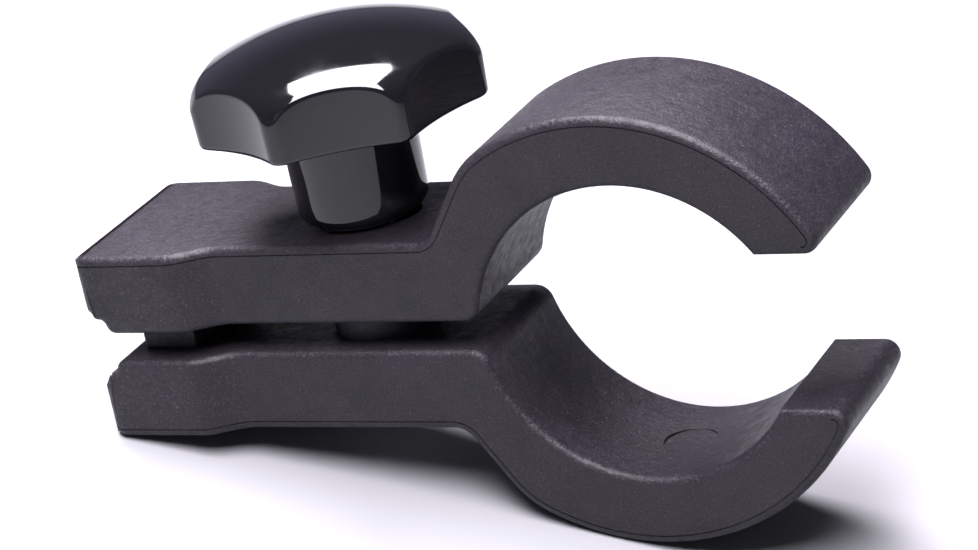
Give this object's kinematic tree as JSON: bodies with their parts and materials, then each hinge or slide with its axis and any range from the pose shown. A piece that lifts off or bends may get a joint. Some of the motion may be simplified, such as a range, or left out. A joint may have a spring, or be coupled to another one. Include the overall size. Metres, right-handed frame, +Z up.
{
  "type": "tube clamp",
  "caption": "Moulded plastic tube clamp: two curved jaws rock on a tail fulcrum and close on a round tube when a lobed knob is turned on its bolt.",
  "frame": {"origin": "bottom centre of the bounding box, on the surface that the clamp stands on", "axes": "+X from the tail to the mouth, +Z up as the clamp stands on its lower arm and lower tail, Y along the tube it clamps; the bolt leans back from +Z by 12.7 degrees"},
  "size_m": [0.1208, 0.042, 0.068],
  "materials": {
    "jaw_nylon": "black glass-filled nylon, fine grain, slightly worn sheen",
    "knob_phenolic": "gloss black phenolic",
    "zinc_steel": "bright zinc plate",
    "brass": "machined",
    "spring_steel": "dark drawn wire"
  },
  "bodies": {
    "lower_arm": {"lower_jaw": "jaw_nylon", "clamp_bolt": "zinc_steel", "return_spring": "spring_steel"},
    "upper_arm": {"upper_jaw": "jaw_nylon"},
    "knob_carriage": {"thrust_washer": "zinc_steel"},
    "knob": {"knob_body": "knob_phenolic", "knob_insert": "brass"}
  },
  "joints": [
    {"name": "jaw_open", "type": "hinge", "parent": "lower_arm", "child": "upper_arm", "pos_m": [-0.04757, 0.00097, 0.01839], "axis": [0, -1, 0], "range_deg": [0, 14.87], "deforming": ["return_spring"]},
    {"name": "knob_travel", "type": "slide", "parent": "lower_arm", "child": "knob_carriage", "axis": [-0.2171, 0, 0.9761], "range_m": [0, 0.01564], "deforming": ["return_spring"]},
    {"name": "knob_turn", "type": "hinge", "parent": "knob_carriage", "child": "knob", "pos_m": [-0.01885, 0.00097, 0.0385], "axis": [-0.2171, 0, 0.9761], "range_deg": [0, 4500]}
  ],
  "couplings": [
    {"joint": "knob_travel", "follows": "knob_turn", "m_per_rad": 0.00019894},
    {"joint": "jaw_open", "follows": "knob_turn", "ratio": 0.0032938}
  ]
}
